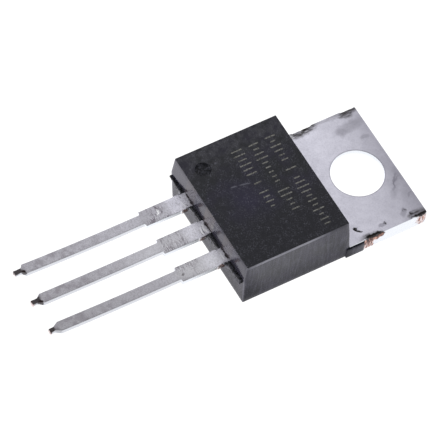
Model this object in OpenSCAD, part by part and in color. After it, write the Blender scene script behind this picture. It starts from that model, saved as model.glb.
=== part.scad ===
// Linear voltage regulator in a plastic tab package with three straight leads.
// The origin is the centre of the mounting hole, on the flat back of the tab.
// +Y points to the tab's free end, the leads run along -Y, and +Z points out of the front.
// All lengths are in millimetres and all angles in degrees.

/* [Tab] */
// How far each side of the tab lies inside the body's widest line
tab_inset = 0.06; // [0.02:0.01:0.2]
// Thickness of the tab
tab_t = 1.27; // [1.1:0.01:1.4]
// Reach of the tab past the middle of the mounting hole
tab_reach = 2.7; // [2.4:0.01:3.2]
// Diameter of the mounting hole
hole_d = 3.84; // [3.4:0.01:4.1]
// Width of the copper pad that lies bare on the back of the body
pad_w = 8.0; // [7.0:0.01:8.4]
// Length of bare copper on the back, from the tab's free end
pad_l = 12.4; // [11.6:0.01:12.9]
// Cut across each corner at the pad's lead end
pad_corner = 0.6; // [0.3:0.01:1]
// Reach of the rib that locks the pad into the moulding
lock_out = 0.25; // [0.1:0.01:0.35]
// Thickness of the lock rib
lock_t = 0.4; // [0.25:0.01:0.5]

/* [Body] */
// Width of the body at its parting line
body_w = 10.16; // [9.9:0.01:10.5]
// Height of the front face above the back
body_h = 4.57; // [4.3:0.01:4.8]
// Length of the front face
body_l = 8.055; // [7.9:0.005:8.6]
// Distance from the middle of the mounting hole to the front face
body_gap = 4.005; // [3.9:0.005:4.4]
// Draft of the end wall over the tab
tab_end_draft = 7; // [2:0.1:9]
// Draft of the end wall over the leads
lead_end_draft = 6.2; // [2:0.1:9]
// Draft of the end wall under the leads
back_end_draft = 4; // [1:0.1:6]
// Draft of the side walls in front of the parting line
side_draft = 1.5; // [0.5:0.1:3]
// Draft of the side walls behind the parting line
back_side_draft = 2.8; // [1:0.1:4]

/* [Ears] */
// Length of each ear of moulding along the tab's side
ear_l = 1.25; // [0.8:0.01:1.6]
// Height of the ears
ear_h = 0.95; // [0.6:0.01:1.05]
// Depth of the rebate in the tab that an ear fills
ear_in = 0.4; // [0.25:0.01:0.6]
// How far an ear stands out past the tab's side
ear_out = 0.05; // [0.02:0.01:0.1]

/* [Index dimple] */
// Diameter of the dimple that marks the first lead
dimple_d = 1.12; // [0.8:0.01:1.5]
// Depth of the dimple
dimple_depth = 0.12; // [0.05:0.01:0.25]
// Distance from the dimple's centre to the front face's side edge
dimple_from_side = 1.665; // [1:0.005:2.5]
// Distance from the dimple's centre to the front face's lead-end edge
dimple_from_end = 1.31; // [1:0.01:2.5]

/* [Leads] */
// Distance between the middles of neighbouring leads
lead_pitch = 2.54; // [2.3:0.01:2.8]
// Thickness of the leads
lead_t = 0.4; // [0.35:0.01:0.6]
// Height of the leads' underside above the back
lead_z = 2.65; // [2.4:0.01:2.9]
// Length of the leads outside the body
lead_l = 13.705; // [12.7:0.005:14.7]
// Width where a lead leaves the body
root_w = 1.22; // [1:0.01:1.24]
// Length from the body to the sheared tie stubs
root_l = 0.42; // [0.3:0.01:0.6]
// Width across the sheared tie stubs
stub_w = 1.36; // [1.3:0.01:1.5]
// Length of the sheared tie stubs along the lead
stub_l = 0.55; // [0.3:0.01:0.8]
// Width of the lead's broad part
broad_w = 1.27; // [1.24:0.01:1.3]
// Length from the body to the end of the broad part
broad_l = 3.715; // [2.5:0.005:5]
// Width of the lead's slim part
slim_w = 0.8; // [0.6:0.01:0.95]
// Width of the stub left at the tip
tip_w = 0.34; // [0.2:0.01:0.5]
// Length of the tip with its shoulders
tip_l = 0.77; // [0.7:0.01:1.2]
// Length of the shoulders at the tip of each lead, from first to last
shoulder_l = [0.19, 0.29, 0.42]; // [0.1:0.01:0.5]

/* [Flash web] */
// How far the web between the leads stands out of the parting line
web_out = 0.18; // [0.1:0.01:0.25]
// Distance from the web's first end to the body's side
web_start = 0.03; // [0.02:0.01:0.8]
// Distance from the web's last end to the body's side
web_short = 0.42; // [0.2:0.01:0.8]

/* [Inside] */
// Width of the bonding posts at the inner ends of the outer leads
post_w = 2.3; // [1.8:0.01:2.6]
// Length of the bonding posts
post_l = 1.2; // [0.9:0.01:1.4]
// Length of lead between the body's face and a bonding post
post_gap = 0.7; // [0.5:0.01:0.9]
// Width of the riser that joins the middle lead to the pad
riser_w = 1.3; // [0.9:0.01:1.5]
// Width of the die
die_w = 2.9; // [2:0.01:3.6]
// Length of the die
die_l = 2.5; // [2:0.01:3]
// Thickness of the die
die_t = 0.3; // [0.2:0.01:0.4]
// Thickness of the solder under the die
solder_t = 0.05; // [0.03:0.01:0.1]
// How far the solder shows past the die on each side
solder_out = 0.12; // [0.05:0.01:0.25]
// Diameter of the bond wires
wire_d = 0.2; // [0.1:0.01:0.25]
// Radius of the bends in the bond wires
wire_bend = 0.3; // [0.2:0.01:0.35]
// Height of the bond wires over the surfaces that they rise from
wire_loop = 0.62; // [0.5:0.01:0.8]
// Gap that the foot of a bond wire keeps from an edge
foot_gap = 0.15; // [0.1:0.01:0.2]

/* [Hidden] */
$fn = 96;
// Overlap that joins two shapes of one piece
join = 0.2;
// Overrun of a cut past the face that it opens
past = 1;

// Levels along Z
parting_z = lead_z + lead_t;
die_z = tab_t + solder_t;
die_top = die_z + die_t;

// Places along Y
tab_end_y = tab_reach;
front_near_y = -body_gap;
front_far_y = front_near_y - body_l;
body_near_y = front_near_y + (body_h - tab_t) * tan(tab_end_draft);
face_y = front_far_y - (body_h - parting_z) * tan(lead_end_draft);
back_far_y = face_y + parting_z * tan(back_end_draft);
pad_end_y = tab_end_y - pad_l;
tip_y = face_y - lead_l;
post_far_y = face_y + post_gap;
post_near_y = post_far_y + post_l;
die_y = (body_near_y + pad_end_y) / 2 - 0.1 * die_l;

// Half widths
body_side = body_w / 2;
tab_side = body_side - tab_inset;
pad_side = pad_w / 2;
front_side = body_side - (body_h - parting_z) * tan(side_draft);
back_side = body_side - parting_z * tan(back_side_draft);

// Middles of the three leads, and the numbers of the outer two
lead_x = [-lead_pitch, 0, lead_pitch];
FIRST = 0;
MIDDLE = 1;
LAST = 2;

// Bond wires: size of the foot at each end, and the room from its middle to an edge
foot_d = 2 * wire_d;
foot_t = wire_d / 2;
foot_room = foot_d / 2 + foot_gap;

epoxy = "#36363a";
tin = "#b3b1ba";
silicon = "#6a6f7c";
solder_grey = "#9a9ca0";
wire_metal = "#d8d8da";

// Mirrors a shape to the other side of the package and keeps both
module both_sides() {
    children();
    mirror([1, 0, 0]) children();
}

// Runs an outline of [y, z] points across the package from x = from to x = to
module across(from, to, outline) {
    translate([from, 0, 0])
        rotate([90, 0, 90])
            linear_extrude(to - from) polygon(outline);
}

// Right half of one lead's outline: its root, tie stubs, broad part, slim part and tip
function lead_half(i) = [
    [root_w / 2, face_y + join],
    [root_w / 2, face_y - root_l],
    [stub_w / 2, face_y - root_l],
    [stub_w / 2, face_y - root_l - stub_l],
    [broad_w / 2, face_y - root_l - stub_l],
    [broad_w / 2, face_y - broad_l],
    [slim_w / 2, face_y - broad_l],
    [slim_w / 2, tip_y + tip_l],
    [tip_w / 2, tip_y + tip_l - shoulder_l[i]],
    [tip_w / 2, tip_y],
];

function reversed(points) = [for (k = [len(points) - 1:-1:0]) points[k]];

function mirrored(points) = [for (p = points) [-p[0], p[1]]];

// The bare length of lead i, in the plane of the leads
module outer_lead(i) {
    translate([lead_x[i], 0, lead_z])
        linear_extrude(lead_t) polygon(concat(lead_half(i), reversed(mirrored(lead_half(i)))));
}

// Lead i from the body's face inwards
module inner_stretch(i, length) {
    translate([lead_x[i] - root_w / 2, face_y, lead_z]) cube([root_w, length, lead_t]);
}

// An outer lead inside the body, with the post that its wire lands on
module inner_post(i) {
    inner_stretch(i, post_gap + join);
    translate([lead_x[i] - post_w / 2, post_far_y, lead_z]) cube([post_w, post_l, lead_t]);
}

// The middle lead inside the body, with the riser that joins it to the end of the pad
module ground_riser() {
    inner_stretch(MIDDLE, post_gap);
    across(-riser_w / 2, riser_w / 2, [
        [post_far_y - join, lead_z],
        [post_far_y, lead_z],
        [pad_end_y, tab_t - lead_t],
        [pad_end_y + join, tab_t - lead_t],
        [pad_end_y + join, tab_t],
        [pad_end_y, tab_t],
        [post_far_y, parting_z],
        [post_far_y - join, parting_z],
    ]);
}

// Rebate along the tab's side that an ear of the moulding fills
module ear_rebate() {
    translate([tab_side - ear_in, body_near_y - past, -past])
        cube([ear_in + past, ear_l + past, ear_h + past]);
}

module pad_outline(side) {
    polygon([
        [-side, body_near_y + join],
        [side, body_near_y + join],
        [side, pad_end_y + pad_corner],
        [side - pad_corner, pad_end_y],
        [pad_corner - side, pad_end_y],
        [-side, pad_end_y + pad_corner],
    ]);
}

// Tab, pad and middle lead: one stamping of thick and thin copper strip
module tab_and_ground_lead() {
    color(tin) {
        difference() {
            translate([-tab_side, body_near_y, 0]) cube([2 * tab_side, tab_end_y - body_near_y, tab_t]);
            translate([0, 0, -past]) cylinder(d = hole_d, h = tab_t + 2 * past);
            both_sides() ear_rebate();
        }
        linear_extrude(tab_t) pad_outline(pad_side);
        translate([-pad_side - lock_out, pad_end_y + pad_corner, (tab_t - lock_t) / 2])
            cube([pad_w + 2 * lock_out, body_near_y - pad_end_y - 2 * pad_corner, lock_t]);
        ground_riser();
        outer_lead(MIDDLE);
    }
}

module input_lead() {
    color(tin) {
        inner_post(FIRST);
        outer_lead(FIRST);
    }
}

module output_lead() {
    color(tin) {
        inner_post(LAST);
        outer_lead(LAST);
    }
}

module die_solder() {
    color(solder_grey)
        translate([-die_w / 2 - solder_out, die_y - die_l / 2 - solder_out, tab_t])
            cube([die_w + 2 * solder_out, die_l + 2 * solder_out, solder_t]);
}

module regulator_die() {
    color(silicon)
        translate([-die_w / 2, die_y - die_l / 2, die_z]) cube([die_w, die_l, die_t]);
}

// Quarter bend of wire in the XZ plane, from the side given to the top
module wire_quarter(start) {
    rotate([90, 0, 0])
        rotate([0, 0, start])
            rotate_extrude(angle = 90) translate([wire_bend, 0]) circle(d = wire_d);
}

// Wire that rises at a, runs level at loop_z and comes down on b, with a flattened foot at each end
module bond_wire(a, b, loop_z) {
    run = norm([b[0] - a[0], b[1] - a[1]]);
    level_z = loop_z - wire_bend;
    color(wire_metal)
        translate([a[0], a[1], 0])
            rotate([0, 0, atan2(b[1] - a[1], b[0] - a[0])]) {
                translate([0, 0, a[2]]) cylinder(d = foot_d, h = foot_t);
                translate([0, 0, a[2]]) cylinder(d = wire_d, h = level_z - a[2]);
                translate([wire_bend, 0, level_z]) wire_quarter(90);
                translate([wire_bend, 0, loop_z])
                    rotate([0, 90, 0]) cylinder(d = wire_d, h = run - 2 * wire_bend);
                translate([run - wire_bend, 0, level_z]) wire_quarter(0);
                translate([run, 0, b[2]]) cylinder(d = wire_d, h = level_z - b[2]);
                translate([run, 0, b[2]]) cylinder(d = foot_d, h = foot_t);
            }
}

// Height that a wire to an outer lead runs at
post_loop_z = parting_z + wire_loop;
// Y of the feet on the die's lead-end row and on the posts
die_foot_y = die_y - die_l / 2 + foot_room;
post_foot_y = post_near_y - foot_room;
// X of the outermost feet on the die
die_foot_x = die_w / 2 - foot_room;
// Distance between the two feet that share the output post
twin_feet = post_w - 2 * foot_room;

module bond_wire_input() {
    bond_wire([-die_foot_x, die_foot_y, die_top],
        [-lead_pitch, post_foot_y, parting_z], post_loop_z);
}

module bond_wire_output() {
    bond_wire([die_foot_x, die_foot_y, die_top],
        [lead_pitch + twin_feet / 2, post_foot_y, parting_z], post_loop_z);
}

module bond_wire_sense() {
    bond_wire([die_foot_x - twin_feet / 2, die_foot_y, die_top],
        [lead_pitch - twin_feet / 2, post_foot_y, parting_z], post_loop_z);
}

module bond_wire_ground() {
    bond_wire([0, die_y + die_l / 2 - foot_room, die_top],
        [0, die_y + die_l / 2 + solder_out + foot_room + foot_d, tab_t], die_top + wire_loop);
}

// Drafted block: the side outline and the end outline of the body, each run through the other
module body_block() {
    intersection() {
        across(-body_side - past, body_side + past, [
            [back_far_y, 0],
            [face_y, parting_z],
            [front_far_y, body_h],
            [front_near_y, body_h],
            [body_near_y, tab_t],
            [body_near_y, 0],
        ]);
        translate([0, body_near_y + past, 0])
            rotate([90, 0, 0])
                linear_extrude(body_near_y - face_y + 2 * past) polygon([
                    [-back_side, 0],
                    [back_side, 0],
                    [body_side, parting_z],
                    [front_side, body_h],
                    [-front_side, body_h],
                    [-body_side, parting_z],
                ]);
    }
}

// Ear of moulding in the tab's rebate, with a root that ties it to the body
module ear() {
    root_in = back_side - join / 4 - (tab_side - ear_in);
    translate([tab_side - ear_in, body_near_y, 0]) cube([ear_in + ear_out, ear_l, ear_h]);
    translate([tab_side - ear_in, body_near_y - join, 0]) cube([root_in, 2 * join, ear_h]);
}

// Broken web of flash between the leads, as thick as the leads
module flash_web() {
    across(web_start - body_side, body_side - web_short, [
        [face_y, parting_z],
        [face_y - web_out / 4, lead_z + lead_t / 3],
        [face_y - web_out, lead_z],
        [face_y + join, lead_z],
        [face_y + join, parting_z],
    ]);
}

module index_dimple() {
    translate([dimple_from_side - front_side, front_far_y + dimple_from_end, body_h - dimple_depth])
        cylinder(d = dimple_d, h = dimple_depth + past);
}

module mould_body() {
    color(epoxy)
        difference() {
            union() {
                body_block();
                both_sides() ear();
                flash_web();
            }
            index_dimple();
            tab_and_ground_lead();
            input_lead();
            output_lead();
            regulator_die();
            die_solder();
            bond_wire_input();
            bond_wire_output();
            bond_wire_sense();
            bond_wire_ground();
        }
}

mould_body();
tab_and_ground_lead();
input_lead();
output_lead();
regulator_die();
die_solder();
bond_wire_input();
bond_wire_output();
bond_wire_sense();
bond_wire_ground();
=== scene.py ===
"""Voltage regulator in a plastic tab package: the looks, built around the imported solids.

Lengths are in millimetres until MM turns them into metres. The frame's origin is the middle of
the mounting hole, on the flat back of the tab. +Y points to the tab's free end, the leads run
along -Y and +Z points out of the front.
"""

import logging
import math
from dataclasses import dataclass, field
from enum import Enum
from typing import Any, Callable, Sequence

import bmesh
import bpy
from mathutils import Matrix, Vector, noise


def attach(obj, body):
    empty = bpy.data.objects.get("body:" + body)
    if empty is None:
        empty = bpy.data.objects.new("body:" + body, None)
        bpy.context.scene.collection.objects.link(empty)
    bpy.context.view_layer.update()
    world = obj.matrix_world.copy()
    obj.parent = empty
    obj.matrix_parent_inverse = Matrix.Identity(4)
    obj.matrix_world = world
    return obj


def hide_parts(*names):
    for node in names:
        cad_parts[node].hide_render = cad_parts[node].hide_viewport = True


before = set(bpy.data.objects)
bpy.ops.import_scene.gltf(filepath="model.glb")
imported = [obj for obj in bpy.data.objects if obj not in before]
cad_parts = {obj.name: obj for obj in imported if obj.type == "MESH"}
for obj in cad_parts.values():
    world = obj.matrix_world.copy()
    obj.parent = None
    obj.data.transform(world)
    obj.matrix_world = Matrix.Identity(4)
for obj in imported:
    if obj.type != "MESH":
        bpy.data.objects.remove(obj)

MM = 0.001
BODY = "root"
log = logging.getLogger("voltage_regulator")

# Sizes that several pieces share: the moulding's front, the tab's upper face and where it
# leaves the moulding, the leads' faces, where they leave the moulding, and their spacing
FRONT_Z = 4.57
TAB_TOP = 1.27
TAB_NEAR_Y = -3.6
LEAD_LOW, LEAD_TOP = 2.65, 3.05
FACE_Y = -12.2251
PITCH = 2.54

Point2 = tuple[float, float]
Point3 = tuple[float, float, float]
Box = tuple[Point3, Point3]
# The lowest and the highest of a row of numbers, and how many lie between them
Span = tuple[float, float, int]
Ring = list[Point3]
Socket = bpy.types.NodeSocket


def linear(hex_colour: str) -> tuple[float, float, float, float]:
    """Turns an sRGB hex colour into a linear one.

    Args:
        hex_colour: Six hex digits after a hash.

    Returns:
        Red, green and blue from 0 to 1, and an alpha of 1.
    """
    parts = [int(hex_colour[i:i + 2], 16) / 255 for i in (1, 3, 5)]
    red, green, blue = (c / 12.92 if c <= 0.04045 else ((c + 0.055) / 1.055) ** 2.4
                        for c in parts)
    return red, green, blue, 1.0


def metres(point: Sequence[float]) -> Vector:
    """Turns a point in millimetres into one in metres."""
    return Vector(point) * MM


# ---------------------------------------------------------------------------
# Node trees
# ---------------------------------------------------------------------------

class Kind(Enum):
    """The nodes that are used often.

    Each has its type, its settings, its inputs in order and the output that counts.
    """

    TIMES = ("ShaderNodeMath", {"operation": "MULTIPLY"}, (0, 1), 0)
    PLUS = ("ShaderNodeMath", {"operation": "ADD"}, (0, 1), 0)
    MINUS = ("ShaderNodeMath", {"operation": "SUBTRACT"}, (0, 1), 0)
    # A line goes on in proportion, and a ramp eases in and out
    LINE = ("ShaderNodeMapRange", {}, ("Value", "From Min", "From Max", "To Min", "To Max"), 0)
    RAMP = ("ShaderNodeMapRange", {"interpolation_type": "SMOOTHSTEP"},
            ("Value", "From Min", "From Max", "To Min", "To Max"), 0)
    BLEND = ("ShaderNodeMix", {"data_type": "RGBA"}, (0, 6, 7), 2)
    BUMP = ("ShaderNodeBump", {}, ("Height", "Distance", "Normal"), 0)
    SPLIT = ("ShaderNodeSeparateXYZ", {}, (0,), 0)
    JOIN = ("ShaderNodeCombineXYZ", {}, (0, 1, 2), 0)
    MOVE = ("ShaderNodeVectorMath", {"operation": "SUBTRACT"}, (0, 1), 0)
    STRETCH = ("ShaderNodeVectorMath", {"operation": "MULTIPLY"}, (0, 1), 0)
    LENGTH = ("ShaderNodeVectorMath", {"operation": "LENGTH"}, (0,), "Value")


# Short names, because nearly every line of a material uses some of them
TIMES, PLUS, MINUS, LINE, RAMP, BLEND, BUMP, SPLIT, JOIN, MOVE, STRETCH, LENGTH = Kind


@dataclass
class Graph:
    """A node tree under way."""

    tree: bpy.types.NodeTree

    def add(self, kind: Kind | str, *values: Any, output: int | str = 0,
            **settings: Any) -> Socket | None:
        """Adds a node with its settings and links.

        Args:
            kind: Which node, as one of the kinds or as a type name.
            values: A number, a hex colour or an output socket for each input in order, or one
                dict of them by input. Values beyond the last input go to more such nodes, each
                of which takes the result so far.
            output: The output that counts, where kind is a type name.
            settings: Properties of the node.

        Returns:
            The output that counts, or None where the node has none.
        """
        if isinstance(kind, Kind):
            name, fixed, keys, output = kind.value
            if len(values) > len(keys):
                values = (self.add(kind, *values[:-1], **settings), values[-1])
        else:
            name, fixed, keys = kind, {}, range(len(values))
        given = values[0] if values and isinstance(values[0], dict) else dict(zip(keys, values))
        node = self.tree.nodes.new(name)
        for setting, value in (fixed | settings).items():
            setattr(node, setting, value)
        for key, value in given.items():
            if isinstance(value, Socket):
                self.tree.links.new(value, node.inputs[key])
            else:
                node.inputs[key].default_value = linear(value) if isinstance(value, str) else value
        return node.outputs[output] if node.outputs else None


@dataclass(frozen=True)
class Zone:
    """A soft-edged stretch of space.

    Each edge across an axis is a pair: where the zone has faded out, and where it is full.
    """

    x: tuple[Point2, ...] = ()
    y: tuple[Point2, ...] = ()
    z: tuple[Point2, ...] = ()
    amount: float = 1.0


class Painter(Graph):
    """A material under way, with the place in millimetres and the facing of its points."""

    def __init__(self, name: str) -> None:
        """Starts a material with an empty tree.

        Args:
            name: The material's name.
        """
        self.material = bpy.data.materials.new(name)
        self.material.use_nodes = True
        super().__init__(self.material.node_tree)
        self.tree.nodes.clear()
        where = self.add("ShaderNodeTexCoord").node.outputs
        self.place = self.add(STRETCH, where["Object"], (1 / MM,) * 3)
        self.x, self.y, self.z = self.add(SPLIT, self.place).node.outputs
        facing = self.add(SPLIT, where["Normal"]).node.outputs
        self.sidewards, self.endwards, self.upwards = facing

    def grain(self, size: float, detail: float = 2.0, stretch: Point3 = (1.0, 1.0, 1.0),
              output: str = "Fac") -> Socket:
        """Adds noise.

        Args:
            size: The size of its lumps in millimetres.
            detail: How many finer layers it has.
            stretch: How much longer the lumps are along x, y and z.
            output: Whether it comes as a value or as a colour.

        Returns:
            Noise round 0.5.
        """
        scale = tuple(1 / (size * times) for times in stretch)
        place = self.add("ShaderNodeMapping", {"Vector": self.place, "Scale": scale})
        return self.add("ShaderNodeTexNoise", {"Vector": place, "Scale": 1.0, "Detail": detail},
                        output=output)

    def flecks(self, size: float, low: float, high: float, start: float = 0.0, end: float = 1.0,
               detail: float = 2.0, stretch: Point3 = (1.0, 1.0, 1.0)) -> Socket:
        """Adds noise that rises from start, below low, to end, above high."""
        return self.add(RAMP, self.grain(size, detail, stretch), low, high, start, end)

    def shaken(self, size: float, reach: float, place: Socket) -> Socket:
        """Moves a place about by noise.

        Args:
            size: The size of the noise's lumps in millimetres.
            reach: How far a point moves at most.
            place: The place to move.

        Returns:
            The moved place.
        """
        centred = self.add(MOVE, self.grain(size, 3.0, output="Color"), (0.5,) * 3)
        return self.add("ShaderNodeVectorMath", centred, (2 * reach,) * 3, place,
                        operation="MULTIPLY_ADD")

    def zone(self, zone: Zone) -> Socket:
        """Gives a zone's amount inside it and 0 outside.

        Args:
            zone: The zone.

        Returns:
            The value at each point.
        """
        ramps = [self.add(RAMP, getattr(self, axis), *edge)
                 for axis in "xyz" for edge in getattr(zone, axis)]
        return self.add(TIMES, *ramps, zone.amount)

    def coats(self, colour: Socket | str, *coats: tuple[Socket, Socket | str]) -> Socket:
        """Lays coats over a colour.

        Args:
            colour: What lies under them all.
            coats: The share and the colour of each coat, from the lowest up.

        Returns:
            The mixed colour.
        """
        for share, over in coats:
            colour = self.add(BLEND, share, colour, over)
        return colour

    def glow(self, colour: str, strength: Socket | float) -> bpy.types.Material:
        """Ends the tree in light.

        Args:
            colour: The light's colour.
            strength: How bright it is.

        Returns:
            The material.
        """
        light = self.add("ShaderNodeEmission", {"Color": colour, "Strength": strength})
        self.add("ShaderNodeOutputMaterial", {"Surface": light})
        return self.material

    def finish(self, colour: Socket, roughness: Socket | float, normal: Socket,
               **others: float) -> bpy.types.Material:
        """Ends the tree in a Principled shader.

        Args:
            colour: Its base colour.
            roughness: Its roughness.
            normal: Its normal.
            others: Plain numbers for its other inputs, with underscores for spaces.

        Returns:
            The material.
        """
        named = {name.replace("_", " "): value for name, value in others.items()}
        shader = self.add("ShaderNodeBsdfPrincipled", named | {
            "Base Color": colour, "Roughness": roughness, "Normal": normal})
        self.add("ShaderNodeOutputMaterial", {"Surface": shader})
        return self.material


class Recipe(Graph):
    """A geometry node tree with named inputs, and how it is run."""

    kinds = {float: "NodeSocketFloat", int: "NodeSocketInt",
             bpy.types.Material: "NodeSocketMaterial"}

    def __init__(self, name: str, numbers: Sequence[str]) -> None:
        """Starts a tree.

        Args:
            name: The tree's name.
            numbers: The names of its inputs that are plain numbers. Count, Seed and Finish
                are whole numbers and a material, and every tree has them.
        """
        super().__init__(bpy.data.node_groups.new(name, "GeometryNodeTree"))
        self.tree.is_modifier = True
        sockets = self.tree.interface
        sockets.new_socket("Geometry", in_out="INPUT", socket_type="NodeSocketGeometry")
        sockets.new_socket("Geometry", in_out="OUTPUT", socket_type="NodeSocketGeometry")
        inputs = dict.fromkeys(numbers, float) | {"Count": int, "Seed": int,
                                                  "Finish": bpy.types.Material}
        self.names = {key: sockets.new_socket(key, in_out="INPUT",
                                              socket_type=self.kinds[kind]).identifier
                      for key, kind in inputs.items()}
        self.given = self.add("NodeGroupInput").node.outputs

    def end(self, geometry: Socket) -> None:
        """Ends the tree in real geometry with the finish that was given.

        Args:
            geometry: What the tree has made.
        """
        real = self.add("GeometryNodeRealizeInstances", geometry)
        done = self.add("GeometryNodeSetMaterial",
                        {"Geometry": real, "Material": self.given["Finish"]})
        self.add("NodeGroupOutput", done)

    def run(self, obj: bpy.types.Object, values: dict[str, Any]) -> bpy.types.Object:
        """Runs the tree on an object's mesh and keeps the result as its mesh.

        Args:
            obj: The object whose mesh goes in.
            values: The value of each named input.

        Returns:
            The same object, without the modifier.
        """
        modifier = obj.modifiers.new(self.tree.name, "NODES")
        modifier.node_group = self.tree
        for name, value in values.items():
            modifier[self.names[name]] = value
        return settle(obj)


# ---------------------------------------------------------------------------
# Camera, floor and light
# ---------------------------------------------------------------------------

@dataclass
class Shot:
    """The camera's place, as angles and a distance from the point that it looks at."""

    target: Point3 = (-2.680, -9.109, -2.257)
    azimuth: float = 54.235
    elevation: float = 56.559
    roll: float = -7.232
    distance: float = 312.24
    focal_length: float = 360.98
    sensor: float = 36.0
    clip: Point2 = (0.02, 20.0)

    def place(self) -> bpy.types.Object:
        """Makes the camera and gives it to the scene.

        Returns:
            The camera.
        """
        az, el, roll = (math.radians(a) for a in (self.azimuth, self.elevation, self.roll))
        back = Vector((math.sin(az) * math.cos(el), -math.cos(az) * math.cos(el), math.sin(el)))
        level = (-back).cross(Vector((0, 0, 1))).normalized()
        down = (-back).cross(level)
        right = level * math.cos(roll) + down * math.sin(roll)
        turned = Matrix((right, back.cross(right), back)).transposed().to_4x4()
        data = bpy.data.cameras.new("camera")
        data.lens, data.sensor_width = self.focal_length, self.sensor
        data.clip_start, data.clip_end = self.clip
        camera = new_object("camera", data)
        camera.matrix_world = \
            Matrix.Translation(metres(self.target) + back * self.distance * MM) @ turned
        bpy.context.scene.camera = camera
        return camera


@dataclass
class SoftBox:
    """A square soft box: where it hangs, its side and how bright its face looks."""

    name: str
    place: Point3
    size: float
    radiance: float
    aim: Point3 = (0.0, -9.0, 0.0)

    def hang(self) -> bpy.types.Object:
        """Makes the light, turned to face its aim.

        Returns:
            The light.
        """
        data = bpy.data.lights.new(self.name, "AREA")
        data.shape, data.size = "SQUARE", self.size * MM
        data.energy = self.radiance * math.pi * (self.size * MM) ** 2
        light = new_object(self.name, data)
        light.location = metres(self.place)
        light.rotation_mode = "QUATERNION"
        light.rotation_quaternion = (metres(self.aim) - light.location).to_track_quat("-Z", "Y")
        return light


@dataclass
class Studio:
    """A white light table under the part, a pale surround and soft boxes above."""

    floor_size: float = 3000.0
    floor_drop: float = 0.01
    floor_glow: float = 1.15
    floor_colour: str = "#ffffff"
    # The part mirrors a table that is darker round the body's foot, out to shade_reach, and
    # lighter at the far corner
    mirrored_colour: str = "#faf9ff"
    mirrored_glow: float = 1.32
    shade: float = 0.54
    shade_reach: float = 2.6
    body_middle: Point3 = (0.0, -7.85, 0.0)
    body_half: Point3 = (5.0, 4.25, 0.0)
    lit_corner: Zone = Zone(x=((1.0, -7.0),), y=((-12.6, -16.0),), amount=0.52)
    # Lighter under the leads' roots and by the ear, darker by the body's corner and the tab
    patches: tuple[Zone, ...] = (
        Zone(x=((-7.4, -4.4), (2.2, 1.4)), y=((-15.0, -12.6), (-7.0, -8.0)), amount=0.26),
        Zone(x=((4.95, 5.1), (5.55, 5.4)), y=((-3.4, -3.0), (-1.8, -2.2)), amount=0.25),
        Zone(x=((5.0, 5.3),), y=((-14.4, -12.6), (-9.6, -11.4)), amount=-0.44),
        Zone(x=((5.4, 5.9),), y=((-5.3, -3.9), (-1.0, -2.4)), amount=-0.18))
    horizon: float = 0.95
    zenith: float = 0.50
    zenith_height: float = 0.9
    soft_boxes: tuple[SoftBox, ...] = (
        SoftBox("key_box", (-100, 70, 170), 130, 0.45),
        SoftBox("front_box", (-90, -110, 150), 110, 2.8))

    def build(self) -> None:
        """Makes the floor, the surround and the lights."""
        bpy.context.scene.view_settings.view_transform = "Standard"
        plain = self.table_top("floor", self.floor_drop)
        plain.data.materials.append(
            Painter("light_table").glow(self.floor_colour, self.floor_glow))
        plain.visible_diffuse = plain.visible_glossy = False
        # Only the part's own surfaces see this sheet, so the floor stays evenly white
        shaded = self.table_top("floor_shade", 0.5 * self.floor_drop)
        shaded.data.materials.append(self.shaded_glow())
        shaded.visible_camera = False
        self.surround()
        for soft_box in self.soft_boxes:
            soft_box.hang()

    def table_top(self, name: str, drop: float) -> bpy.types.Object:
        """Makes one flat sheet of the table, which isn't part of the object.

        Args:
            name: The sheet's name.
            drop: How far it lies under the part.

        Returns:
            The sheet.
        """
        half = self.floor_size / 2
        plan = [(-half, -half), (half, -half), (half, half), (-half, half)]
        mesh = bpy.data.meshes.new(name)
        mesh.from_pydata([metres((x, y, -drop)) for x, y in plan], [], [(0, 1, 2, 3)])
        sheet = new_object(name, mesh)
        return sheet

    def shaded_glow(self) -> bpy.types.Material:
        """Gives the table with the soft shade that the body throws round its foot.

        Returns:
            The material.
        """
        p = Painter("light_table_shade")
        away = p.add("ShaderNodeVectorMath", p.add(MOVE, p.place, self.body_middle),
                     operation="ABSOLUTE")
        away = p.add("ShaderNodeVectorMath", p.add(MOVE, away, self.body_half), (0, 0, 0),
                     operation="MAXIMUM")
        glow = p.add(RAMP, p.add(LENGTH, away), 0.0, self.shade_reach, self.shade,
                     self.mirrored_glow)
        glow = p.add(PLUS, glow, p.zone(self.lit_corner))
        kept = p.add(PLUS, 1.0, *(p.zone(patch) for patch in self.patches))
        return p.glow(self.mirrored_colour, p.add(TIMES, glow, kept))

    def surround(self) -> None:
        """Makes a surround that is bright at the horizon and dimmer overhead."""
        world = bpy.context.scene.world = bpy.data.worlds.new("surround")
        world.use_nodes = True
        sky = Graph(world.node_tree)
        sky.tree.nodes.clear()
        where = sky.add("ShaderNodeTexCoord", output="Generated")
        height = sky.add(SPLIT, where).node.outputs["Z"]
        strength = sky.add(LINE, height, 0.0, self.zenith_height, self.horizon, self.zenith)
        light = sky.add("ShaderNodeBackground", {"Color": "#ffffff", "Strength": strength})
        sky.add("ShaderNodeOutputWorld", {"Surface": light})


# ---------------------------------------------------------------------------
# Meshes
# ---------------------------------------------------------------------------

def wobble(point: Sequence[float], size: float, seed: float = 0.0) -> float:
    """Gives smooth noise at a point.

    Args:
        point: Where to read it, in millimetres.
        size: The size of its lumps.
        seed: Picks another pattern.

    Returns:
        A number from about -1 to 1.
    """
    return noise.noise(Vector(point) / size + Vector((seed, 1.7 * seed, -0.6 * seed)))


def rise(low: float, high: float, value: float) -> float:
    """Rises smoothly from 0 at low to 1 at high."""
    share = min(max((value - low) / (high - low), 0.0), 1.0)
    return share * share * (3 - 2 * share)


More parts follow.
